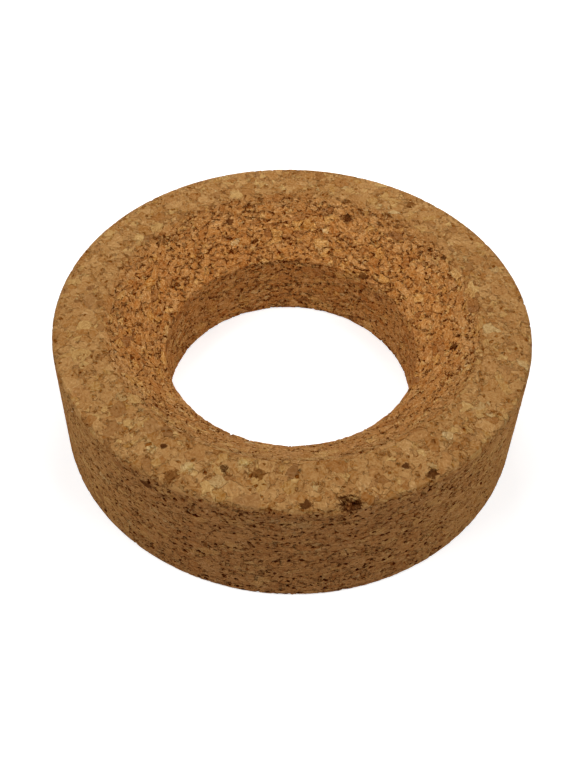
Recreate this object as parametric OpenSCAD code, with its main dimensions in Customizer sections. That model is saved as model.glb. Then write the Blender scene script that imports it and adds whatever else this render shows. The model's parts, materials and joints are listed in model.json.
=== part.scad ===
// Cork ring: a low ring of pressed cork granules that a round-bottomed flask
// stands in. It is turned from one block. A flat top face runs round the outside,
// a sloped seat leads down from it, and a straight hole goes through the rest.
// Millimetres, +Z up, with the origin at the centre of the foot.

/* [Body] */
// Outside diameter
outer_d = 110; // [104:1:150]
// Height from the foot to the top face
ring_h = 30; // [24:1:50]

/* [Bore] */
// Diameter of the straight hole
bore_d = 60; // [40:1:64]

/* [Seat] */
// Width of the sloped seat, measured outwards from the hole
seat_w = 13.75; // [8:0.25:16]
// Depth of the sloped seat below the top face
seat_depth = 12.5; // [8:0.5:16]

/* [Edges] */
// Radius on the outside top edge
top_edge_r = 1.2; // [0.5:0.1:2]
// Radius where the top face turns into the seat
brow_r = 1.5; // [0.5:0.1:3]
// Radius where the seat turns into the hole
lip_r = 1; // [0.3:0.1:2]
// Radius on the hole's bottom edge
bore_foot_r = 0.6; // [0.3:0.1:1.5]
// Radius on the outside bottom edge
foot_edge_r = 0.8; // [0.3:0.1:2]

/* [Hidden] */

CORK = "#B07D47";
ROUND_FN = 180;

outer_r = outer_d / 2;
bore_r = bore_d / 2;
seat_top_r = bore_r + seat_w;
lip_z = ring_h - seat_depth;
seat_angle = atan2(seat_depth, seat_w);

// The waste outside an arc of radius r that rounds a convex corner at the origin.
// One face of the corner runs off along angle a, the other along angle b > a.
module corner_waste(r, a, b) {
    half = (b - a) / 2;
    reach = r / tan(half);
    centre = r / sin(half);
    mid = a + half;
    difference() {
        polygon([
            [0, 0],
            reach * [cos(a), sin(a)],
            centre * [cos(mid), sin(mid)],
            reach * [cos(b), sin(b)]
        ]);
        translate(centre * [cos(mid), sin(mid)]) circle(r, $fn = ROUND_FN);
    }
}

// Half of the ring's section, with x as the radius and y as the height.
module section() {
    difference() {
        polygon([
            [bore_r, 0],
            [outer_r, 0],
            [outer_r, ring_h],
            [seat_top_r, ring_h],
            [bore_r, lip_z]
        ]);
        translate([outer_r, 0]) corner_waste(foot_edge_r, 90, 180);
        translate([outer_r, ring_h]) corner_waste(top_edge_r, 180, 270);
        translate([seat_top_r, ring_h]) corner_waste(brow_r, 180 + seat_angle, 360);
        translate([bore_r, lip_z]) corner_waste(lip_r, -90, seat_angle);
        translate([bore_r, 0]) corner_waste(bore_foot_r, 0, 90);
    }
}

module cork_ring() {
    color(CORK) rotate_extrude($fn = ROUND_FN) section();
}

cork_ring();
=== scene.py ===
"""The looks of a pressed cork ring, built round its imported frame.

The ring is turned from a block of cork granules that were pressed flat and glued.
Its skin is grown by one Geometry Nodes tree, which turns the section round and sinks
the seams and hollows between the granules into it. The finish lays the same granules
over that skin, so each dark seam lies in its own hollow. The few grains and hollows
that stand out in this ring are placed one by one, in both. Lengths in the classes are
in millimetres unless their description says metres, and are turned into metres where
they are handed to Blender.
"""

from __future__ import annotations

import json
import logging
import math
from dataclasses import dataclass, field
from enum import Enum

import bpy
from mathutils import Matrix, Vector


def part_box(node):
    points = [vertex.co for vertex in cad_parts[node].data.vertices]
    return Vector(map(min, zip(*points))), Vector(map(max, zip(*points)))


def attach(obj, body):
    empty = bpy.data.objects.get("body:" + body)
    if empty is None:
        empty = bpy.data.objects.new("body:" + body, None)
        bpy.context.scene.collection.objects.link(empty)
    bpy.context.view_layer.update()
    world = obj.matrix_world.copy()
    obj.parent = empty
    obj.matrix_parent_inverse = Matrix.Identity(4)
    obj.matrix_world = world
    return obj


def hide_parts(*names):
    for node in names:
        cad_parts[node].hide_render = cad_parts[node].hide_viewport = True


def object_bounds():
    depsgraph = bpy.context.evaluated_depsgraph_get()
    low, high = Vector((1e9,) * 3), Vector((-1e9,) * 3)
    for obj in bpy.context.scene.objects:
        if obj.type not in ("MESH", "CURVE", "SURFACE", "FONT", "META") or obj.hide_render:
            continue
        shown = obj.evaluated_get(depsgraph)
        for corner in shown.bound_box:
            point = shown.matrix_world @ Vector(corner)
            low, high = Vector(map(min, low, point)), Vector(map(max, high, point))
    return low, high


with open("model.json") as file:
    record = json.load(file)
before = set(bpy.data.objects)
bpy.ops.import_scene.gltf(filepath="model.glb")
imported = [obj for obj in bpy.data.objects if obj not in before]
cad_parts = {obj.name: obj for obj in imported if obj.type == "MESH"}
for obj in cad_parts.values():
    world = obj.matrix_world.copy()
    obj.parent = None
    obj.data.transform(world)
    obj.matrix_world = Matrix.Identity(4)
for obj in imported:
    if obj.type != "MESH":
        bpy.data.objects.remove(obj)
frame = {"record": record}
cad_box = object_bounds()

log = logging.getLogger("cork_ring")

MM = 0.001
MIDDLE = 0.5  # the middle of each random number and of each noise


def hex_colour(text: str) -> tuple[float, float, float, float]:
    """Turns an sRGB hex colour into a linear colour.

    Args:
        text: Six hex digits after a hash sign.

    Returns:
        Linear red, green, blue, and full alpha.
    """
    parts = [int(text[i : i + 2], 16) / 255 for i in (1, 3, 5)]
    linear = [c / 12.92 if c <= 0.04045 else ((c + 0.055) / 1.055) ** 2.4 for c in parts]
    return (*linear, 1.0)


def add_node(
    tree: bpy.types.NodeTree,
    kind: str,
    values: dict[int | str, object] | None = None,
    **settings: object,
) -> bpy.types.Node:
    """Adds a node to a tree, with its settings, values and links.

    Args:
        tree: The node tree that gets the node.
        kind: The node's type name.
        values: For each input, by name or place, a plain value, the output that feeds
            it, or a node whose first output in use feeds it.
        settings: Properties of the node itself.

    Returns:
        The new node.
    """
    node = tree.nodes.new(kind)
    for name, setting in settings.items():
        setattr(node, name, setting)
    for key, value in (values or {}).items():
        if isinstance(value, bpy.types.Node):
            value = next(output for output in value.outputs if output.enabled)
        if isinstance(value, bpy.types.NodeSocket):
            tree.links.new(value, node.inputs[key])
        else:
            node.inputs[key].default_value = value
    return node


@dataclass(frozen=True)
class GranuleSockets:
    """What the granule pattern gives at each point, as outputs of a node tree.

    Attributes:
        tone: Three random numbers for each granule, from 0 to 1.
        crack: 1 in the open cracks between granules, 0 away from them.
        void: 1 in the small hollows that a missing crumb leaves, 0 away from them.
        fleck: A ragged mottle finer than the granules, round 0.5.
        pressed: The point in millimetres, swayed and flattened as the granules are.
    """

    tone: bpy.types.NodeSocket
    crack: bpy.types.NodeSocket
    void: bpy.types.NodeSocket
    fleck: bpy.types.NodeSocket
    pressed: bpy.types.NodeSocket


@dataclass(frozen=True)
class Granules:
    """Ground cork as the press packs it: granules of three sizes, lying flat.

    The same pattern is laid in the ring's geometry tree and in its material.

    Attributes:
        cut_from: Where in its block the ring was cut, in millimetres. It is the
            pattern's seed, because another place has other granules.
        widths_mm: Widths of the three sizes of granule, the largest first.
        whole: Share of the granules of each larger size that aren't broken down into
            the next.
        flattening: How much wider than high a granule lies.
        sways: Wave, reach and octaves of each noise that makes the granules ragged,
            the first two in millimetres.
        octaves: Finer octaves of the fleck and of the noise that opens the seams.
        fleck_mm: Wave of the fleck.
        fleck_roughness: How strong each of its octaves is against the one before.
        room_mm: Wave of the noise that opens the seams.
        room_roughness: How strong each of its octaves is against the one before.
        room: Its values at which a seam starts to open and is open widest.
        closed_mm: Half the width of a closed seam, which is never quite nothing.
        crack_mm: Half the width of the widest crack.
        void_pitch_mm: From one place for a hollow to the next.
        void_filled: Share of those places that stay filled with cork.
        void_mm: Half the width of the widest hollow.
        void_rim: Width of a hollow's sloping rim, as a share of the pitch.
    """

    cut_from: tuple[float, float, float] = (137.0, 61.0, 23.0)
    widths_mm: tuple[float, float, float] = (2.8, 1.7, 1.0)
    whole: tuple[float, float] = (0.45, 0.6)
    flattening: float = 1.8
    sways: tuple[tuple[float, float, float], ...] = ((1.8, 1.2, 1.0), (0.5, 0.4, 2.0))
    octaves: float = 3.0
    fleck_mm: float = 0.7
    fleck_roughness: float = 0.7
    room_mm: float = 1.3
    room_roughness: float = 0.6
    room: tuple[float, float] = (0.5, 0.68)
    closed_mm: float = 0.001
    crack_mm: float = 0.34
    void_pitch_mm: float = 1.3
    void_filled: float = 0.4
    void_mm: float = 0.7
    void_rim: float = 0.12

    def lay(self, tree: bpy.types.NodeTree, place: bpy.types.NodeSocket) -> GranuleSockets:
        """Adds the pattern to a tree.

        Args:
            tree: The tree that gets the nodes.
            place: The point in metres, in the ring's own frame.

        Returns:
            The pattern's outputs.
        """
        swayed = add_node(
            tree,
            "ShaderNodeVectorMath",
            {0: place, 1: (1 / MM, 1 / MM, 1 / MM), 2: self.cut_from},
            operation="MULTIPLY_ADD",
        )
        for sway in self.sways:
            swayed = self._sway(tree, swayed, *sway)
        pressed = add_node(
            tree,
            "ShaderNodeVectorMath",
            {0: swayed, 1: (1, 1, self.flattening)},
            operation="MULTIPLY",
        )
        tone, gap = self._cells(tree, pressed, self.widths_mm[-1])
        for width, whole in zip(self.widths_mm[-2::-1], self.whole[::-1]):
            larger_tone, larger_gap = self._cells(tree, pressed, width)
            split = add_node(tree, "ShaderNodeSeparateXYZ", {0: larger_tone})
            kept = add_node(
                tree, "ShaderNodeMath", {0: split.outputs["X"], 1: whole}, operation="LESS_THAN"
            )
            nearer = add_node(tree, "ShaderNodeMath", {0: gap, 1: larger_gap}, operation="MINIMUM")
            gap = add_node(tree, "ShaderNodeMix", {0: kept, 2: nearer, 3: larger_gap}).outputs[0]
            tone = add_node(
                tree, "ShaderNodeMix", {0: kept, 4: tone, 5: larger_tone}, data_type="VECTOR"
            ).outputs[1]
        fleck = add_node(
            tree,
            "ShaderNodeTexNoise",
            {
                "Vector": pressed,
                "Scale": 1 / self.fleck_mm,
                "Detail": self.octaves,
                "Roughness": self.fleck_roughness,
            },
        )
        return GranuleSockets(
            tone=tone,
            crack=self._crack(tree, pressed, gap),
            void=self._void(tree, pressed),
            fleck=fleck.outputs["Fac"],
            pressed=pressed.outputs[0],
        )

    def press(self, point: Vector) -> Vector:
        """Moves a point in millimetres to where it lies in the pattern, but for the sway."""
        moved = point + Vector(self.cut_from)
        return Vector((moved.x, moved.y, moved.z * self.flattening))

    def _sway(
        self,
        tree: bpy.types.NodeTree,
        place: bpy.types.Node,
        wave_mm: float,
        reach_mm: float,
        detail: float,
    ) -> bpy.types.Node:
        """Moves points by a soft noise, so that no granule keeps a straight edge.

        Args:
            tree: The tree that gets the nodes.
            place: The node that gives the point in millimetres.
            wave_mm: Size of the noise's waves.
            reach_mm: How far the noise moves a point from one extreme to the other.
            detail: How many finer octaves the noise has.

        Returns:
            The node that gives the moved point.
        """
        noise = add_node(
            tree, "ShaderNodeTexNoise", {"Vector": place, "Scale": 1 / wave_mm, "Detail": detail}
        )
        centred = add_node(
            tree,
            "ShaderNodeVectorMath",
            {0: noise.outputs["Color"], 1: (MIDDLE, MIDDLE, MIDDLE)},
            operation="SUBTRACT",
        )
        return add_node(
            tree,
            "ShaderNodeVectorMath",
            {0: centred, 1: (reach_mm, reach_mm, reach_mm / self.flattening), 2: place},
            operation="MULTIPLY_ADD",
        )

    def _cells(
        self, tree: bpy.types.NodeTree, place: bpy.types.Node, width_mm: float
    ) -> tuple[bpy.types.NodeSocket, bpy.types.NodeSocket]:
        """Packs granules of one width, and measures how far each point is from a seam.

        Args:
            tree: The tree that gets the nodes.
            place: The node that gives the pressed point in millimetres.
            width_mm: Width of a granule.

        Returns:
            Three random numbers for each granule, and the distance to the nearest seam
            in millimetres.
        """
        laid = {"Vector": place, "Scale": 1 / width_mm}
        cells = add_node(tree, "ShaderNodeTexVoronoi", laid)
        edge = add_node(tree, "ShaderNodeTexVoronoi", laid, feature="DISTANCE_TO_EDGE")
        gap = add_node(tree, "ShaderNodeMath", {0: edge, 1: width_mm}, operation="MULTIPLY")
        return cells.outputs["Color"], gap.outputs[0]

    def _crack(
        self, tree: bpy.types.NodeTree, pressed: bpy.types.Node, gap: bpy.types.NodeSocket
    ) -> bpy.types.NodeSocket:
        """Opens short stretches of the seams, where the press left room.

        Args:
            tree: The tree that gets the nodes.
            pressed: The node that gives the pressed point in millimetres.
            gap: The distance to the nearest seam.

        Returns:
            1 in an open crack and 0 outside it.
        """
        room = add_node(
            tree,
            "ShaderNodeTexNoise",
            {
                "Vector": pressed,
                "Scale": 1 / self.room_mm,
                "Detail": self.octaves,
                "Roughness": self.room_roughness,
            },
        )
        closed, widest = self.room
        width = add_node(
            tree,
            "ShaderNodeMapRange",
            {
                0: room.outputs["Fac"],
                1: closed,
                2: widest,
                3: self.closed_mm,
                4: self.crack_mm,
            },
        )
        crack = add_node(
            tree,
            "ShaderNodeMapRange",
            {0: gap, 1: 0.0, 2: width, 3: 1.0, 4: 0.0},
            interpolation_type="SMOOTHSTEP",
        )
        return crack.outputs[0]

    def _void(self, tree: bpy.types.NodeTree, pressed: bpy.types.Node) -> bpy.types.NodeSocket:
        """Leaves small hollows where a crumb is missing, in a few places of many.

        Args:
            tree: The tree that gets the nodes.
            pressed: The node that gives the pressed point in millimetres.

        Returns:
            1 in the middle of a hollow and 0 outside it.
        """
        pitch_mm = self.void_pitch_mm
        spots = add_node(tree, "ShaderNodeTexVoronoi", {"Vector": pressed, "Scale": 1 / pitch_mm})
        split = add_node(tree, "ShaderNodeSeparateXYZ", {0: spots.outputs["Color"]})
        size = add_node(
            tree,
            "ShaderNodeMapRange",
            {
                0: split.outputs["X"],
                1: self.void_filled,
                2: 1.0,
                3: 0.0,
                4: self.void_mm / pitch_mm,
            },
        )
        inside = add_node(
            tree, "ShaderNodeMath", {0: size, 1: spots.outputs["Distance"]}, operation="SUBTRACT"
        )
        depth = add_node(
            tree, "ShaderNodeMapRange", {0: inside, 1: 0.0, 2: self.void_rim, 3: 0.0, 4: 1.0}
        )
        return depth.outputs[0]


@dataclass(frozen=True)
class PerFace:
    """An amount for each face of the ring.

    Attributes:
        wall: The amount on the outside wall and the underside.
        top: The amount on the flat top face.
        turned: The amount on the seat and in the hole.
    """

    wall: float
    top: float
    turned: float


@dataclass(frozen=True)
class FaceSockets:
    """Which face of the ring a point lies on, as outputs of a node tree.

    Attributes:
        turned: 1 on the seat and in the hole, which the tool tore open, 0 elsewhere.
        top: 1 on the flat top face, 0 elsewhere.
        handled: Rises from 0 to 1 over the seat's last millimetres below its brow,
            where flasks and fingers rub it, and stays 1 outside the brow.
        front: 1 on the ring's front, towards the camera, where the painted sheen and the
        painted shade lie, and 0 at its sides and back.
    """

    turned: bpy.types.NodeSocket
    top: bpy.types.NodeSocket
    handled: bpy.types.NodeSocket
    front: bpy.types.NodeSocket

    def blend(self, tree: bpy.types.NodeTree, amount: PerFace) -> bpy.types.Node:
        """Gives each face its own amount, and blends them over the rounded edges.

        Args:
            tree: The node tree that gets the nodes.
            amount: The amount for each face.

        Returns:
            The node that gives the amount.
        """
        outside = add_node(
            tree,
            "ShaderNodeMath",
            {0: self.top, 1: amount.top - amount.wall, 2: amount.wall},
            operation="MULTIPLY_ADD",
        )
        return add_node(
            tree,
            "ShaderNodeMath",
            {0: self.turned, 1: amount.turned - amount.wall, 2: outside},
            operation="MULTIPLY_ADD",
        )


@dataclass(frozen=True)
class FaceBands:
    """Where the looks of the ring's faces give way to each other.

    Attributes:
        torn_in: How far inside the brow's corner the torn look of the seat starts to
            fade.
        torn_out: How far outside that corner it has gone.
        brow_drop: How far below the top face the look of the top starts, at that corner.
        edge_drop: The same at the outer edge.
        brow_w: How far outside the corner the second of these holds.
        full_drop: How far below the top face the look of the top is full.
        handled_w: How far inside the brow's corner flasks and fingers rub the seat.
        front_from: Where the front starts, as Y over the radius.
        front_full: Where the front is full, as Y over the radius.
    """

    torn_in: float = 2.2
    torn_out: float = 0.5
    brow_drop: float = 4.0
    edge_drop: float = 1.3
    brow_w: float = 2.0
    full_drop: float = 0.5
    handled_w: float = 5.0
    front_from: float = -0.2
    front_full: float = -0.97


class Face(Enum):
    """The faces of the ring on which a flaw is placed."""

    WALL = "along runs up from the foot"
    TOP = "along runs in from the outer edge"
    SEAT = "along runs down the slope from the brow"


class Grain(Enum):
    """What a flaw is."""

    BARK = "a grain of dark bark"
    RUST = "a red-brown granule"
    CREAM = "a pale granule"
    PIT = "a hollow that a lost granule left"


@dataclass(frozen=True)
class Flaw:
    """A grain or hollow that stands out in one place of this ring.

    Attributes:
        grain: What it is.
        face: The face that it lies on.
        angle: Where it lies round the ring, in degrees from the X axis.
        along: Where it lies along the face, in millimetres.
        width: How wide it is.
    """

    grain: Grain
    face: Face
    angle: float
    along: float
    width: float


@dataclass(frozen=True)
class FlawEdge:
    """How ragged the edge of a flaw is, in half widths of the flaw.

    Attributes:
        fleck: How far the fleck moves the edge from one extreme to the other.
        granule: How far whole granules move it.
        full: Distance from the middle, with both added, up to which the flaw is full.
        gone: The same distance at which it has ended.
        nowhere: A distance that is in no flaw.
    """

    fleck: float = 2.0
    granule: float = 0.4
    full: float = 2.05
    gone: float = 2.35
    nowhere: float = 9.0


class Section(Enum):
    """The corners of half the ring's section, from the lip outwards and back."""

    LIP = 0
    BROW = 1
    TOP_EDGE = 2
    FOOT_EDGE = 3
    BORE_FOOT = 4


@dataclass
class CorkRing:
    """The ring: one turned block, with its sizes in millimetres.

    Attributes:
        outer_r: Radius of the outside.
        height: Height from the foot to the top face.
        bore_r: Radius of the straight hole.
        lip_z: Height at which the seat meets the hole.
        seat_w: Width of the sloped seat, measured outwards from the hole.
        radii: Radius of each rounded corner of the section.
        arc_points: Most points on a rounded corner.
        crack_depth: How deep the cracks are.
        granule_depth: How far one granule may lie below another.
        hollow_depth: How deep the small hollows are.
        pit_depth: How deep a flaw's pit is.
        bands: Where the faces give way to each other.
        flaw_edge: How ragged the flaws are.
        step: Length of a facet along the section, before the skin is thinned.
        turns: Number of facets round the ring, before the skin is thinned.
        triangles: Most triangles that the finished skin may have.
        granules: The pattern of its granules.
        flaws: The grains and hollows that stand out.
    """

    outer_r: float
    height: float
    bore_r: float
    lip_z: float
    seat_w: float = 13.75
    radii: dict[Section, float] = field(
        default_factory=lambda: {
            Section.LIP: 1.0,
            Section.BROW: 1.5,
            Section.TOP_EDGE: 1.2,
            Section.FOOT_EDGE: 0.8,
            Section.BORE_FOOT: 0.6,
        }
    )
    arc_points: int = 12
    crack_depth: PerFace = PerFace(wall=0.22, top=0.14, turned=0.42)
    granule_depth: PerFace = PerFace(wall=0.05, top=0.04, turned=0.18)
    hollow_depth: float = 0.45
    pit_depth: float = 0.7
    bands: FaceBands = FaceBands()
    flaw_edge: FlawEdge = FlawEdge()
    step: float = 0.3
    turns: int = 1150
    triangles: int = 195_000
    granules: Granules = Granules()
    flaws: tuple[Flaw, ...] = (
        Flaw(Grain.PIT, Face.TOP, 283, 0.5, 3.0),
        Flaw(Grain.BARK, Face.TOP, 283, 0.5, 4.5),
        Flaw(Grain.BARK, Face.TOP, 274, 1.5, 2.0),
        Flaw(Grain.BARK, Face.TOP, 302, 1.5, 2.0),
        Flaw(Grain.BARK, Face.TOP, 298, 5.5, 1.5),
        Flaw(Grain.BARK, Face.TOP, 239, 7.0, 1.5),
        Flaw(Grain.BARK, Face.TOP, 255, 7.5, 1.5),
        Flaw(Grain.RUST, Face.TOP, 245, 2.0, 3.0),
        Flaw(Grain.RUST, Face.TOP, 263, 8.0, 2.5),
        Flaw(Grain.RUST, Face.TOP, 53, 4.5, 2.5),
        Flaw(Grain.CREAM, Face.TOP, 237, 5.5, 2.0),
        Flaw(Grain.CREAM, Face.TOP, 247, 5.0, 2.5),
        Flaw(Grain.CREAM, Face.TOP, 259, 9.5, 2.5),
        Flaw(Grain.BARK, Face.SEAT, 70, 5.0, 2.5),
        Flaw(Grain.BARK, Face.SEAT, 53, 18.0, 2.5),
        Flaw(Grain.BARK, Face.SEAT, 351, 8.0, 2.5),
        Flaw(Grain.BARK, Face.SEAT, 116, 6.0, 2.0),
        Flaw(Grain.PIT, Face.SEAT, 94, 13.0, 2.0),
        Flaw(Grain.CREAM, Face.SEAT, 56, 9.0, 2.5),
        Flaw(Grain.CREAM, Face.SEAT, 109, 14.5, 2.0),
        Flaw(Grain.BARK, Face.WALL, 240, 26.5, 2.5),
        Flaw(Grain.PIT, Face.WALL, 298, 3.5, 2.5),
        Flaw(Grain.PIT, Face.WALL, 243, 3.5, 2.0),
        Flaw(Grain.PIT, Face.WALL, 236, 13.5, 2.0),
    )

    @classmethod
    def from_frame(cls) -> CorkRing:
        """Takes the ring's sizes from its packed box and mounts.

        Returns:
            The ring, with those sizes.
        """
        low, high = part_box("cork_ring")
        mounts = {mount["name"]: mount for mount in frame["record"]["mounts"]}
        return cls(
            outer_r=(high[0] - low[0]) / 2 / MM,
            height=(high[2] - low[2]) / MM,
            bore_r=mounts["through_hole"]["dims"]["r_mm"],
            lip_z=mounts["flask_seat"]["pos_m"][2] / MM,
        )

    def faces(self, tree: bpy.types.NodeTree, place: bpy.types.NodeSocket) -> FaceSockets:
        """Tells the ring's faces apart by a point's radius and height.

        Args:
            tree: The tree that gets the nodes.
            place: The point in metres, in the ring's own frame.

        Returns:
            The faces' outputs.
        """
        in_mm = add_node(tree, "ShaderNodeVectorMath", {0: place, 3: 1 / MM}, operation="SCALE")
        split = add_node(tree, "ShaderNodeSeparateXYZ", {0: in_mm})
        flat = add_node(
            tree, "ShaderNodeVectorMath", {0: in_mm, 1: (1, 1, 0)}, operation="MULTIPLY"
        )
        radius = add_node(tree, "ShaderNodeVectorMath", {0: flat}, operation="LENGTH")
        bands = self.bands
        brow_r = self.bore_r + self.seat_w
        turned = add_node(
            tree,
            "ShaderNodeMapRange",
            {0: radius, 1: brow_r - bands.torn_in, 2: brow_r + bands.torn_out, 3: 1.0, 4: 0.0},
            interpolation_type="SMOOTHSTEP",
        )
        edge = add_node(
            tree,
            "ShaderNodeMapRange",
            {
                0: radius,
                1: brow_r,
                2: brow_r + bands.brow_w,
                3: self.height - bands.brow_drop,
                4: self.height - bands.edge_drop,
            },
        )
        high_up = add_node(
            tree,
            "ShaderNodeMapRange",
            {0: split.outputs["Z"], 1: edge, 2: self.height - bands.full_drop, 3: 0.0, 4: 1.0},
            interpolation_type="SMOOTHSTEP",
        )
        outside = add_node(tree, "ShaderNodeMath", {0: 1.0, 1: turned}, operation="SUBTRACT")
        top = add_node(tree, "ShaderNodeMath", {0: high_up, 1: outside}, operation="MULTIPLY")
        handled = add_node(
            tree,
            "ShaderNodeMapRange",
            {0: radius, 1: brow_r - bands.handled_w, 2: brow_r, 3: 0.0, 4: 1.0},
        )
        forward = add_node(
            tree, "ShaderNodeMath", {0: split.outputs["Y"], 1: radius}, operation="DIVIDE"
        )
        front = add_node(
            tree,
            "ShaderNodeMapRange",
            {0: forward, 1: bands.front_from, 2: bands.front_full, 3: 0.0, 4: 1.0},
        )
        return FaceSockets(
            turned=turned.outputs[0],
            top=top.outputs[0],
            handled=handled.outputs[0],
            front=front.outputs[0],
        )

    def point(self, flaw: Flaw) -> Vector:
        """Finds the middle of a flaw.

        Args:
            flaw: The flaw.

        Returns:
            The point in millimetres.
        """
        brow_r = self.bore_r + self.seat_w
        slope = math.hypot(self.seat_w, self.height - self.lip_z)
        if flaw.face is Face.WALL:
            radius, up = self.outer_r, flaw.along
        elif flaw.face is Face.TOP:
            radius, up = self.outer_r - flaw.along, self.height
        else:
            radius = brow_r - flaw.along * self.seat_w / slope
            up = self.height - flaw.along * (self.height - self.lip_z) / slope
        turn = math.radians(flaw.angle)
        return Vector((radius * math.cos(turn), radius * math.sin(turn), up))

    def mark(
        self, tree: bpy.types.NodeTree, pattern: GranuleSockets, grain: Grain
    ) -> bpy.types.Node:
        """Marks out the flaws of one kind, with the ragged edge of a granule.

        Args:
            tree: The node tree that gets the nodes.
            pattern: The granule pattern.
            grain: The kind of flaw.

        Returns:
            The node that gives 1 in such a flaw and 0 outside it.
        """
        nearest: bpy.types.Node | float = self.flaw_edge.nowhere
        for flaw in self.flaws:
            if flaw.grain is grain:
                middle = self.granules.press(self.point(flaw))
                away = add_node(
                    tree,
                    "ShaderNodeVectorMath",
                    {0: pattern.pressed, 1: middle},
                    operation="DISTANCE",
                )
                spans = add_node(
                    tree, "ShaderNodeMath", {0: away, 1: flaw.width / 2}, operation="DIVIDE"
                )
                nearest = add_node(
                    tree, "ShaderNodeMath", {0: spans, 1: nearest}, operation="MINIMUM"
                )
        split = add_node(tree, "ShaderNodeSeparateXYZ", {0: pattern.tone})
        edge = self.flaw_edge
        ragged = add_node(
            tree,
            "ShaderNodeMath",
            {0: pattern.fleck, 1: edge.fleck, 2: nearest},
            operation="MULTIPLY_ADD",
        )
        ragged = add_node(
            tree,
            "ShaderNodeMath",
            {0: split.outputs["X"], 1: edge.granule, 2: ragged},
            operation="MULTIPLY_ADD",
        )
        return add_node(
            tree, "ShaderNodeMapRange", {0: ragged, 1: edge.full, 2: edge.gone, 3: 1.0, 4: 0.0}
        )

    def build(self, cork: bpy.types.Material) -> bpy.types.Object:
        """Grows the ring's skin and turns it into a plain mesh.

        Args:
            cork: The ring's material.

        Returns:
            The ring, at the origin, with its place in its mesh.
        """
        tree = self._tree()
        grower = bpy.data.objects.new("ring_grower", bpy.data.meshes.new("ring_grower"))
        bpy.context.scene.collection.objects.link(grower)
        modifier = grower.modifiers.new("Grow", "NODES")
        modifier.node_group = tree
        sockets = {item.name: item.identifier for item in tree.interface.items_tree}
        coarser = 1
        given = {
            "Outer Radius": self.outer_r * MM,
            "Height": self.height * MM,
            "Hole Radius": self.bore_r * MM,
            "Lip Height": self.lip_z * MM,
            "Seat Width": self.seat_w * MM,
            "Facet Length": self.step * coarser * MM,
            "Facets Round": self.turns // coarser,
            "Material": cork,
        }
        for name, value in given.items():
            modifier[sockets[name]] = value
        thin = grower.modifiers.new("Thin", "DECIMATE")
        facets = len(self._evaluated(grower, thinned=False).polygons)
        # Each facet has four corners, and so counts as two triangles.
        thin.ratio = min(1.0, self.triangles / (2 * facets))
        mesh = self._evaluated(grower, thinned=True)
        mesh.name = "cork_ring_skin"
        bpy.data.objects.remove(grower)
        ring = bpy.data.objects.new("cork_ring_skin", mesh)
        bpy.context.scene.collection.objects.link(ring)
        return ring

    def _evaluated(self, grower: bpy.types.Object, thinned: bool) -> bpy.types.Mesh:
        """Copies out the mesh that the grower's modifiers give.

        Args:
            grower: The object with the modifiers.
            thinned: Whether the thinning is part of it.

        Returns:
            The mesh.
        """
        grower.modifiers["Thin"].show_viewport = thinned
        depsgraph = bpy.context.evaluated_depsgraph_get()
        depsgraph.update()
        return bpy.data.meshes.new_from_object(grower.evaluated_get(depsgraph))

    def _tree(self) -> bpy.types.NodeTree:
        """Builds the tree that turns the section and sinks the seams into it.

        Returns:
            The Geometry Nodes tree.
        """
        tree = bpy.data.node_groups.new("Pressed Ring", "GeometryNodeTree")
        for name, kind in (
            ("Outer Radius", "Float"),
            ("Height", "Float"),
            ("Hole Radius", "Float"),
            ("Lip Height", "Float"),
            ("Seat Width", "Float"),
            ("Facet Length", "Float"),
            ("Facets Round", "Int"),
            ("Material", "Material"),
        ):
            tree.interface.new_socket(name=name, in_out="INPUT", socket_type=f"NodeSocket{kind}")
        tree.interface.new_socket(name="Ring", in_out="OUTPUT", socket_type="NodeSocketGeometry")
        given = add_node(tree, "NodeGroupInput").outputs
        path = add_node(
            tree,
            "GeometryNodeCurvePrimitiveCircle",
            {"Resolution": given["Facets Round"], "Radius": given["Hole Radius"]},
        )
        skin = add_node(tree, "GeometryNodeCurveToMesh", {0: path, 1: self._section(tree, given)})
        sunk = add_node(
            tree, "GeometryNodeSetPosition", {"Geometry": skin, "Offset": self._sink(tree)}
        )
        smooth = add_node(tree, "GeometryNodeSetShadeSmooth", {0: sunk})
        real = add_node(tree, "GeometryNodeRealizeInstances", {0: smooth})
        dressed = add_node(
            tree, "GeometryNodeSetMaterial", {0: real, "Material": given["Material"]}
        )
        add_node(tree, "NodeGroupOutput", {0: dressed})
        return tree

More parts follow.
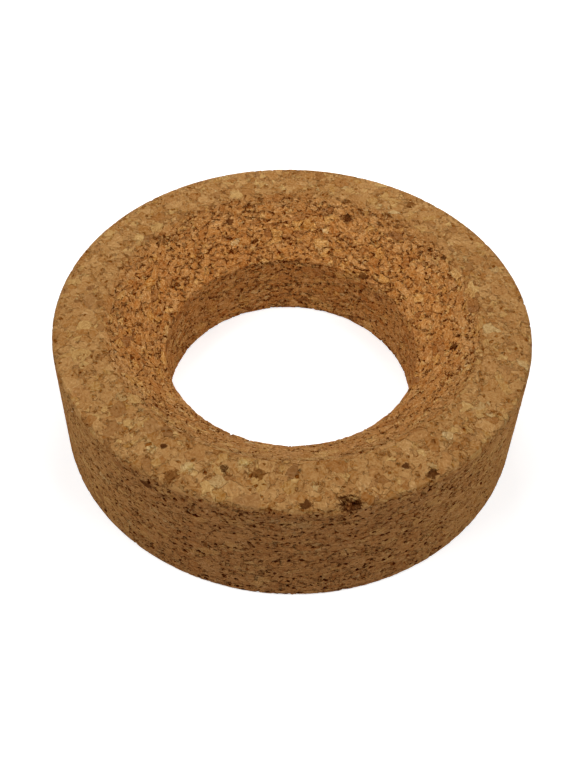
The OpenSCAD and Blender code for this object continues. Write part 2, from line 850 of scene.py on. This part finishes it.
    def _section(
        self, tree: bpy.types.NodeTree, given: bpy.types.NodeOutputs
    ) -> bpy.types.Node:
        """Draws half the ring's section as a closed curve with rounded corners.

        The curve's X runs outwards from the hole's wall, and its Y runs downwards.

        Args:
            tree: The tree that gets the nodes.
            given: The tree's named inputs.

        Returns:
            The node that gives the curve.
        """
        across = add_node(
            tree,
            "ShaderNodeMath",
            {0: given["Outer Radius"], 1: given["Hole Radius"]},
            operation="SUBTRACT",
        )
        top = add_node(tree, "ShaderNodeMath", {0: given["Height"], 1: -1.0}, operation="MULTIPLY")
        lip = add_node(
            tree, "ShaderNodeMath", {0: given["Lip Height"], 1: -1.0}, operation="MULTIPLY"
        )
        corners = {
            Section.LIP: {1: lip},
            Section.BROW: {0: given["Seat Width"], 1: top},
            Section.TOP_EDGE: {0: across, 1: top},
            Section.FOOT_EDGE: {0: across},
            Section.BORE_FOOT: {},
        }
        index = add_node(tree, "GeometryNodeInputIndex")
        places = add_node(tree, "GeometryNodeIndexSwitch", {"Index": index}, data_type="VECTOR")
        radii = add_node(tree, "GeometryNodeIndexSwitch", {"Index": index}, data_type="FLOAT")
        for switch in (places, radii):
            while len(switch.index_switch_items) < len(corners):
                switch.index_switch_items.new()
        for corner, xy in corners.items():
            point = add_node(tree, "ShaderNodeCombineXYZ", xy)
            tree.links.new(point.outputs[0], places.inputs[str(corner.value)])
            radii.inputs[str(corner.value)].default_value = self.radii[corner] * MM
        line = add_node(tree, "GeometryNodeMeshLine", {"Count": len(corners)})
        placed = add_node(tree, "GeometryNodeSetPosition", {"Geometry": line, "Position": places})
        curve = add_node(tree, "GeometryNodeMeshToCurve", {0: placed})
        closed = add_node(tree, "GeometryNodeSetSplineCyclic", {0: curve, "Cyclic": True})
        rounded = add_node(
            tree,
            "GeometryNodeFilletCurve",
            {
                "Curve": closed,
                "Count": self.arc_points,
                "Radius": radii,
                "Limit Radius": True,
            },
            mode="POLY",
        )
        return add_node(
            tree,
            "GeometryNodeResampleCurve",
            {"Curve": rounded, "Length": given["Facet Length"]},
            mode="LENGTH",
        )

    def _sink(self, tree: bpy.types.NodeTree) -> bpy.types.Node:
        """Works out how far each point of the skin sinks, and along which way.

        Args:
            tree: The tree that gets the nodes.

        Returns:
            The node that gives the offset in metres.
        """
        place = add_node(tree, "GeometryNodeInputPosition").outputs[0]
        normal = add_node(tree, "GeometryNodeInputNormal")
        grain = self.granules.lay(tree, place)
        face = self.faces(tree, place)
        split = add_node(tree, "ShaderNodeSeparateXYZ", {0: grain.tone})
        depth = add_node(
            tree,
            "ShaderNodeMath",
            {0: split.outputs["Y"], 1: face.blend(tree, self.granule_depth)},
            operation="MULTIPLY",
        )
        for mark, deep in (
            (grain.crack, face.blend(tree, self.crack_depth)),
            (grain.void, self.hollow_depth),
            (self.mark(tree, grain, Grain.PIT), self.pit_depth),
        ):
            depth = add_node(
                tree, "ShaderNodeMath", {0: mark, 1: deep, 2: depth}, operation="MULTIPLY_ADD"
            )
        inwards = add_node(tree, "ShaderNodeMath", {0: depth, 1: -MM}, operation="MULTIPLY")
        return add_node(tree, "ShaderNodeVectorMath", {0: normal, 3: inwards}, operation="SCALE")


@dataclass(frozen=True)
class OddGranule:
    """A kind of granule that stands out from the plain ones.

    Attributes:
        colour: Its colour.
        share: Share of all granules that are of this kind.
        cover: How far its colour hides the plain one, from 0 to 1.
    """

    colour: str
    share: float
    cover: float


@dataclass(frozen=True)
class Spread:
    """How one pattern spreads the shades of the plain granules.

    Attributes:
        soft: How far from its middle the pattern has its whole effect.
        reach: How far it then moves the shade.
    """

    soft: float
    reach: PerFace


@dataclass(frozen=True)
class PressedCork:
    """Pressed cork granules, turned and lightly sanded.

    It is matt and dry. Ragged tan granules lie close, each with its own streaks, and
    short dark brown cracks stay open between them, dark partly by their own colour and
    partly by painted shade. A few granules are russet, bark brown or cream. Sanding has
    cut and dusted the granules of the flat top, which are paler, smoother and duller
    there than on the torn seat and hole. Rubbing has done the same in part to the wall
    and to the seat's last millimetres below the brow. The same paler look on the front,
    mostly of the seat, is a painted sheen, and the front of the wall is tinted darker
    and a little redder as painted shade. Shades run from 0 in the darkest crack to 1 on
    the palest granule.

    Attributes:
        torn: The colours of torn cork, evenly over its shades from 0 to 1.
        sanded: The same of sanded cork.
        plain: The place in torn of the colour that the tints are made for.
        odd: The kinds of granule that stand out.
        odd_cover: How much of their cover counts.
        flaws: Colours of the flaws that aren't hollow.
        gripped: The darker, redder colour of the front of the wall, which is painted shade.
        gripped_from: How far round to the front that painted shade starts, where 1 is the front.
        filled: How far the cracks have closed.
        void_share: How dark a hollow is against a crack.
        dark_from: How open a crack or hollow is where it starts to look dark.
        dark_full: How open it is where it looks darkest.
        dark: How far down the shades the bottom of a crack or hollow lies, partly its own
        dark colour and partly painted shade.
        middle: The shade in the middle of the plain granules.
        granules: How the shade differs from granule to granule.
        flecks: How the fleck moves it.
        streaks: How the streaks move it.
        sanding: Share of the sanded look.
        front_rubbing: Share of the sanded look laid on the front as a painted sheen.
        brow_rubbing: Share of the sanded look that rubbing gives the seat's brow and the
            wall, all round.
        streak_mm: Width of a streak.
        streak_thin: Width of a streak over its length.
        streak_octaves: Finer octaves of the streaks.
        relief: Height of the finest relief, in metres.
        streak_relief: Height of the streaks against the fleck's in that relief.
        roughness: How matt the cork is.
        specular: Strength of its highlights.
    """

    torn: tuple[str, ...] = ("#451000", "#7A2E02", "#9E5214", "#B87637", "#C98C4D", "#DAA468")
    sanded: tuple[str, ...] = ("#541E02", "#7A420E", "#935F29", "#A47644", "#B38752", "#C99E6C")
    plain: int = 3
    odd: tuple[OddGranule, ...] = (
        OddGranule("#6A3010", 0.012, 0.8),
        OddGranule("#884A1C", 0.05, 0.75),
        OddGranule("#A56027", 0.16, 0.8),
        OddGranule("#C88B42", 0.14, 0.75),
        OddGranule("#C89A56", 0.02, 0.55),
    )
    odd_cover: PerFace = PerFace(wall=0.5, top=0.6, turned=0.65)
    flaws: dict[Grain, str] = field(
        default_factory=lambda: {
            Grain.BARK: "#663612",
            Grain.RUST: "#854A1A",
            Grain.CREAM: "#C88E4A",
        }
    )
    gripped: str = "#B06D33"
    gripped_from: float = 0.6
    filled: PerFace = PerFace(wall=0.5, top=0.5, turned=0.0)
    void_share: PerFace = PerFace(wall=1.0, top=0.65, turned=0.4)
    dark_from: PerFace = PerFace(wall=0.05, top=0.25, turned=0.12)
    dark_full: PerFace = PerFace(wall=0.75, top=1.05, turned=1.1)
    dark: float = 0.68
    middle: PerFace = PerFace(wall=0.71, top=0.64, turned=0.75)
    granules: Spread = Spread(0.5, PerFace(wall=0.06, top=0.12, turned=0.09))
    flecks: Spread = Spread(0.16, PerFace(wall=0.11, top=0.11, turned=0.14))
    streaks: Spread = Spread(0.14, PerFace(wall=0.12, top=0.1, turned=0.15))
    sanding: PerFace = PerFace(wall=0.15, top=1.0, turned=0.0)
    front_rubbing: PerFace = PerFace(wall=0.1, top=0.0, turned=0.5)
    brow_rubbing: float = 0.55
    streak_mm: float = 0.4
    streak_thin: float = 0.3
    streak_octaves: float = 1.0
    relief: PerFace = PerFace(wall=0.35 * MM, top=0.2 * MM, turned=0.45 * MM)
    streak_relief: float = 0.7
    roughness: float = 0.9
    specular: float = 0.02

    def build(self, ring: CorkRing) -> bpy.types.Material:
        """Builds the material on the ring's own granules.

        Args:
            ring: The ring that wears it.

        Returns:
            The material.
        """
        # Pressed cork: dry and matt, with ragged granules and dark open seams.
        material = bpy.data.materials.new("pressed_cork")
        material.use_nodes = True
        tree = material.node_tree
        tree.nodes.clear()
        place = add_node(tree, "ShaderNodeTexCoord").outputs["Object"]
        grain = ring.granules.lay(tree, place)
        face = ring.faces(tree, place)
        streak = self._streaks(tree, grain)
        low = self._low(tree, grain, face, ring.mark(tree, grain, Grain.PIT))
        colour = self._plain(tree, grain, face, streak, low)
        colour = self._odd(tree, grain, face, low, colour)
        # Painted shade: the front of the wall is tinted darker and a little redder.
        wall = face.blend(tree, PerFace(wall=1.0, top=0.0, turned=0.0))
        reach = add_node(
            tree, "ShaderNodeMapRange", {0: face.front, 1: self.gripped_from, 2: 1.0, 4: wall}
        )
        colour = self._tinted(tree, colour, reach, self.gripped)
        for kind, tint in self.flaws.items():
            colour = self._tinted(tree, colour, ring.mark(tree, grain, kind), tint)
        shader = add_node(
            tree,
            "ShaderNodeBsdfPrincipled",
            {
                "Base Color": colour,
                "Roughness": self.roughness,
                "Specular IOR Level": self.specular,
                "Normal": self._relief(tree, grain, face, streak),
            },
        )
        add_node(tree, "ShaderNodeOutputMaterial", {"Surface": shader})
        return material

    def _low(
        self,
        tree: bpy.types.NodeTree,
        grain: GranuleSockets,
        face: FaceSockets,
        pits: bpy.types.Node,
    ) -> bpy.types.Node:
        """Joins the cracks and hollows, which are half closed on the wall and the top.

        Args:
            tree: The material's tree.
            grain: The granule pattern.
            face: The ring's faces.
            pits: The node that gives 1 in the larger hollows.

        Returns:
            The node that gives 1 at the bottom of a crack or hollow and 0 outside it.
        """
        # The darkness of cracks, hollows and pits is partly the cork's own colour and partly
        # painted shade.
        filled = face.blend(tree, self.filled)
        crack = add_node(tree, "ShaderNodeMath", {0: grain.crack, 1: filled}, operation="SUBTRACT")
        share = face.blend(tree, self.void_share)
        void = add_node(tree, "ShaderNodeMath", {0: grain.void, 1: share}, operation="MULTIPLY")
        either = add_node(tree, "ShaderNodeMath", {0: crack, 1: void}, operation="MAXIMUM")
        start = face.blend(tree, self.dark_from)
        end = face.blend(tree, self.dark_full)
        low = add_node(tree, "ShaderNodeMapRange", {0: either, 1: start, 2: end})
        return add_node(tree, "ShaderNodeMath", {0: low, 1: pits}, operation="MAXIMUM")

    def _tinted(
        self,
        tree: bpy.types.NodeTree,
        colour: bpy.types.Node,
        share: bpy.types.Node,
        wanted: str,
    ) -> bpy.types.Node:
        """Tints the cork, which keeps its streaks and seams.

        Args:
            tree: The material's tree.
            colour: The node that gives the colour before the tint.
            share: The node that gives 1 where the tint is full.
            wanted: The colour that a granule of the plain torn colour takes on.

        Returns:
            The node that gives the tinted colour.
        """
        plain = hex_colour(self.torn[self.plain])
        tint = [a / b for a, b in zip(hex_colour(wanted), plain)]
        return add_node(
            tree,
            "ShaderNodeMix",
            {0: share, 6: colour, 7: tint},
            data_type="RGBA",
            blend_type="MULTIPLY",
        )

    def _streaks(self, tree: bpy.types.NodeTree, grain: GranuleSockets) -> bpy.types.NodeSocket:
        """Draws the streaks in each granule, which run a way of their own.

        Args:
            tree: The material's tree.
            grain: The granule pattern.

        Returns:
            The streaks, round 0.5.
        """
        turn = add_node(
            tree, "ShaderNodeVectorMath", {0: grain.tone, 3: math.tau}, operation="SCALE"
        )
        turned = add_node(
            tree,
            "ShaderNodeVectorRotate",
            {"Vector": grain.pressed, "Rotation": turn},
            rotation_type="EULER_XYZ",
        )
        drawn = add_node(
            tree,
            "ShaderNodeVectorMath",
            {0: turned, 1: (self.streak_thin, 1.0, 1.0)},
            operation="MULTIPLY",
        )
        streak = add_node(
            tree,
            "ShaderNodeTexNoise",
            {"Vector": drawn, "Scale": 1 / self.streak_mm, "Detail": self.streak_octaves},
        )
        return streak.outputs["Fac"]

    def _plain(
        self,
        tree: bpy.types.NodeTree,
        grain: GranuleSockets,
        face: FaceSockets,
        streak: bpy.types.NodeSocket,
        low: bpy.types.Node,
    ) -> bpy.types.Node:
        """Gives the plain granules their shades, and darkens the cracks and hollows, partly
        by their own colour and partly as painted shade.

        Args:
            tree: The material's tree.
            grain: The granule pattern.
            face: The ring's faces.
            streak: The streaks in the granules.
            low: The node that gives 1 in cracks and hollows.

        Returns:
            The node that gives the colour.
        """
        split = add_node(tree, "ShaderNodeSeparateXYZ", {0: grain.tone})
        shade = face.blend(tree, self.middle)
        for part, spread in (
            (split.outputs["Y"], self.granules),
            (grain.fleck, self.flecks),
            (streak, self.streaks),
        ):
            centred = add_node(
                tree,
                "ShaderNodeMapRange",
                {0: part, 1: MIDDLE - spread.soft, 2: MIDDLE + spread.soft, 3: -1.0, 4: 1.0},
            )
            reach = face.blend(tree, spread.reach)
            shade = add_node(
                tree, "ShaderNodeMath", {0: centred, 1: reach, 2: shade}, operation="MULTIPLY_ADD"
            )
        # Cracks and hollows darken the shade: partly their own colour, partly painted shade.
        shade = add_node(
            tree, "ShaderNodeMath", {0: low, 1: -self.dark, 2: shade}, operation="MULTIPLY_ADD"
        )
        cut = face.blend(tree, self.sanding)
        # Painted sheen: the front, mostly of the seat and a little of the wall, takes the paler
        # sanded look.
        painted_sheen_share = face.blend(tree, self.front_rubbing)
        painted_sheen = add_node(tree, "ShaderNodeMath", {0: face.front, 1: painted_sheen_share}, operation="MULTIPLY")
        # Real rubbing at the brow and on the wall, together with the painted sheen on the front.
        rubbed_and_sheen = add_node(
            tree,
            "ShaderNodeMath",
            {0: face.handled, 1: self.brow_rubbing, 2: painted_sheen},
            operation="MULTIPLY_ADD",
        )
        share = add_node(tree, "ShaderNodeMath", {0: cut, 1: rubbed_and_sheen}, operation="MAXIMUM")
        torn = self._ramp(tree, shade, self.torn)
        sanded = self._ramp(tree, shade, self.sanded)
        return add_node(
            tree, "ShaderNodeMix", {0: share, 6: torn, 7: sanded}, data_type="RGBA"
        )

    def _ramp(
        self, tree: bpy.types.NodeTree, shade: bpy.types.Node, colours: tuple[str, ...]
    ) -> bpy.types.Node:
        """Lays colours evenly over shades from 0 to 1.

        Args:
            tree: The material's tree.
            shade: The node that gives the shade.
            colours: The colours, the darkest first.

        Returns:
            The node that gives the colour.
        """
        ramp = add_node(tree, "ShaderNodeValToRGB", {"Fac": shade})
        elements = ramp.color_ramp.elements
        while len(elements) < len(colours):
            elements.new(1.0)
        for i, (element, text) in enumerate(zip(elements, colours)):
            element.position = i / (len(colours) - 1)
            element.color = hex_colour(text)
        return ramp

    def _odd(
        self,
        tree: bpy.types.NodeTree,
        grain: GranuleSockets,
        face: FaceSockets,
        low: bpy.types.Node,
        colour: bpy.types.Node,
    ) -> bpy.types.Node:
        """Tints the granules that stand out.

        Args:
            tree: The material's tree.
            grain: The granule pattern.
            face: The ring's faces.
            low: The node that gives 1 in cracks and hollows, which keep their colour.
            colour: The node that gives the plain colour.

        Returns:
            The node that gives the colour.
        """
        split = add_node(tree, "ShaderNodeSeparateXYZ", {0: grain.tone})
        above = add_node(tree, "ShaderNodeMath", {0: 1.0, 1: low}, operation="SUBTRACT")
        amount = face.blend(tree, self.odd_cover)
        clear = add_node(tree, "ShaderNodeMath", {0: above, 1: amount}, operation="MULTIPLY")
        start = 0.0
        for kind in self.odd:
            half = kind.share / 2
            chosen = add_node(
                tree,
                "ShaderNodeMath",
                {0: split.outputs["Z"], 1: start + half, 2: half},
                operation="COMPARE",
            )
            cover = add_node(
                tree, "ShaderNodeMath", {0: chosen, 1: kind.cover}, operation="MULTIPLY"
            )
            share = add_node(tree, "ShaderNodeMath", {0: cover, 1: clear}, operation="MULTIPLY")
            colour = self._tinted(tree, colour, share, kind.colour)
            start += kind.share
        return colour

    def _relief(
        self,
        tree: bpy.types.NodeTree,
        grain: GranuleSockets,
        face: FaceSockets,
        streak: bpy.types.NodeSocket,
    ) -> bpy.types.Node:
        """Adds the relief that is finer than the skin's facets.

        Args:
            tree: The material's tree.
            grain: The granule pattern.
            face: The ring's faces.
            streak: The streaks in the granules.

        Returns:
            The node that gives the normal.
        """
        low = add_node(tree, "ShaderNodeMath", {0: grain.crack, 1: grain.void}, operation="MAXIMUM")
        height = add_node(
            tree, "ShaderNodeMath", {0: low, 1: -1.0, 2: grain.fleck}, operation="MULTIPLY_ADD"
        )
        height = add_node(
            tree,
            "ShaderNodeMath",
            {0: streak, 1: self.streak_relief, 2: height},
            operation="MULTIPLY_ADD",
        )
        depth = face.blend(tree, self.relief)
        return add_node(
            tree, "ShaderNodeBump", {"Strength": 1.0, "Distance": depth, "Height": height}
        )


@dataclass(frozen=True)
class Lamp:
    """A soft rectangular lamp that faces the ring.

    Attributes:
        name: What the lamp does.
        place: Where it stands, in metres.
        size: Width of its face, in metres.
        watts: Its power.
    """

    name: str
    place: tuple[float, float, float]
    size: float
    watts: float


@dataclass
class Studio:
    """A pale floor, soft lamps and the camera.

    Attributes:
        lens_mm: Focal length.
        distance: From the ring's middle to the camera, in metres.
        elevation: Height of the camera over the horizon, in degrees.
        pitch: How far the camera looks over the ring's middle, in degrees.
        yaw: How far it looks past it, in degrees.
        roll: How far it leans, in degrees.
        shift: How far the frame is shifted down, as a share of its longer side.
        near_clip: Nearest distance that the camera sees, in metres.
        lamps: The lamps.
        sky: Strength of the light from all round.
        floor_half: Half the width of the floor, in metres.
        paper: The floor's colour.
        glow_reach: From the ring's axis to where the paper's glow starts to grow, and
            to where it is full, in metres.
        glow: The strength of that glow at those two distances.
    """

    lens_mm: float = 43.97
    distance: float = 0.2297
    elevation: float = 46.86
    pitch: float = 7.68
    yaw: float = 0.45
    roll: float = -1.86
    shift: float = -0.2083
    near_clip: float = 0.01
    lamps: tuple[Lamp, ...] = (
        Lamp("left_key", (-0.48, -0.19, 0.575), 0.45, 3.25),
        Lamp("right_key", (0.48, -0.19, 0.575), 0.45, 3.05),
        Lamp("back_lamp", (0.0, 0.15, 0.22), 0.15, 0.29),
    )
    sky: float = 0.02
    floor_half: float = 3.0
    paper: str = "#E7E7E7"
    glow_reach: tuple[float, float] = (0.2, 0.9)
    glow: tuple[float, float] = (0.58, 1.0)

    def build(self) -> None:
        """Sets the floor, the lamps, the surroundings and the camera."""
        scene = bpy.context.scene
        scene.view_settings.view_transform = "Standard"
        self._floor()
        self._world(scene)
        for lamp in self.lamps:
            self._lamp(lamp)
        scene.camera = self._camera()

    def _floor(self) -> None:
        """Lays the floor that the ring stands on."""
        mesh = bpy.data.meshes.new("floor")
        half = self.floor_half
        corners = [(-half, -half, 0), (half, -half, 0), (half, half, 0), (-half, half, 0)]
        mesh.from_pydata(corners, [], [(0, 1, 2, 3)])
        mesh.materials.append(self._paper())
        floor = bpy.data.objects.new("floor", mesh)
        bpy.context.scene.collection.objects.link(floor)

    def _paper(self) -> bpy.types.Material:
        """Makes the floor's material.

        Returns:
            The material.
        """
        # White studio paper: plain and matt, and it keeps the ring's soft shadow. Its
        # glow lights nothing, and grows where the lamps fall off, so that it stays white.
        material = bpy.data.materials.new("studio_paper")
        material.use_nodes = True
        tree = material.node_tree
        tree.nodes.clear()
        seen = self._seen(tree)
        paper = add_node(tree, "ShaderNodeBsdfDiffuse", {"Color": hex_colour(self.paper)})
        place = add_node(tree, "ShaderNodeTexCoord").outputs["Object"]
        away = add_node(tree, "ShaderNodeVectorMath", {0: place}, operation="LENGTH")
        (near, far), (weak, full) = self.glow_reach, self.glow
        strength = add_node(
            tree, "ShaderNodeMapRange", {0: away, 1: near, 2: far, 3: weak, 4: full}
        )
        glow = add_node(tree, "ShaderNodeEmission", {"Strength": strength})
        lit = add_node(tree, "ShaderNodeAddShader", {0: paper, 1: glow})
        mixed = add_node(tree, "ShaderNodeMixShader", {0: seen, 1: paper, 2: lit})
        add_node(tree, "ShaderNodeOutputMaterial", {"Surface": mixed})
        return material

    def _world(self, scene: bpy.types.Scene) -> None:
        """Surrounds the scene with white for the camera and soft light for the ring.

        Args:
            scene: The scene that gets the world.
        """
        world = bpy.data.worlds.new("studio")
        world.use_nodes = True
        tree = world.node_tree
        tree.nodes.clear()
        seen = self._seen(tree)
        light = add_node(tree, "ShaderNodeBackground", {"Strength": self.sky})
        white = add_node(tree, "ShaderNodeBackground", {"Color": (1.0, 1.0, 1.0, 1.0)})
        mixed = add_node(tree, "ShaderNodeMixShader", {0: seen, 1: light, 2: white})
        add_node(tree, "ShaderNodeOutputWorld", {"Surface": mixed})
        scene.world = world

    def _seen(self, tree: bpy.types.NodeTree) -> bpy.types.Node:
        """Tells the rays that see the background from those that only light the ring.

        Args:
            tree: The tree that gets the nodes.

        Returns:
            The node that gives 1 for camera, glossy and transmitted rays.
        """
        path = add_node(tree, "ShaderNodeLightPath").outputs
        direct = add_node(
            tree,
            "ShaderNodeMath",
            {0: path["Is Camera Ray"], 1: path["Is Glossy Ray"]},
            operation="MAXIMUM",
        )
        return add_node(
            tree,
            "ShaderNodeMath",
            {0: direct, 1: path["Is Transmission Ray"]},
            operation="MAXIMUM",
        )

    def _lamp(self, lamp: Lamp) -> None:
        """Hangs a lamp, facing the ring.

        Args:
            lamp: The lamp.
        """
        data = bpy.data.lights.new(lamp.name, "AREA")
        data.size = lamp.size
        data.energy = lamp.watts
        hung = bpy.data.objects.new(lamp.name, data)
        hung.location = lamp.place
        hung.rotation_euler = (-Vector(lamp.place)).to_track_quat("-Z", "Y").to_euler()
        bpy.context.scene.collection.objects.link(hung)

    def _camera(self) -> bpy.types.Object:
        """Sets up the camera.

        Returns:
            The camera.
        """
        low, high = cad_box
        middle = (low + high) / 2
        rise = math.radians(self.elevation)
        back = Vector((0, -math.cos(rise), math.sin(rise)))
        up = Vector((0, math.sin(rise), math.cos(rise)))
        level = Matrix((Vector((1, 0, 0)), up, -back))
        turn = (
            Matrix.Rotation(math.radians(self.roll), 3, "Z")
            @ Matrix.Rotation(math.radians(self.yaw), 3, "Y")
            @ Matrix.Rotation(math.radians(self.pitch), 3, "X")
        )
        across, over, ahead = turn @ level
        data = bpy.data.cameras.new("camera")
        data.lens = self.lens_mm
        data.shift_y = self.shift
        data.clip_start = self.near_clip
        camera = bpy.data.objects.new("camera", data)
        axes = Matrix((across, over, -ahead)).transposed()
        camera.matrix_world = Matrix.Translation(middle + back * self.distance) @ axes.to_4x4()
        bpy.context.scene.collection.objects.link(camera)
        return camera


def main() -> None:
    """Builds the ring and the studio."""
    logging.basicConfig(level=logging.INFO, format="%(message)s")
    ring = CorkRing.from_frame()
    skin = ring.build(PressedCork().build(ring))
    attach(skin, "root")
    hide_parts("cork_ring")
    log.info("%s: %d triangles", skin.name, sum(len(p.vertices) - 2 for p in skin.data.polygons))
    Studio().build()
    log.info("studio: floor, lamps and camera")


if __name__ == "__main__":
    main()
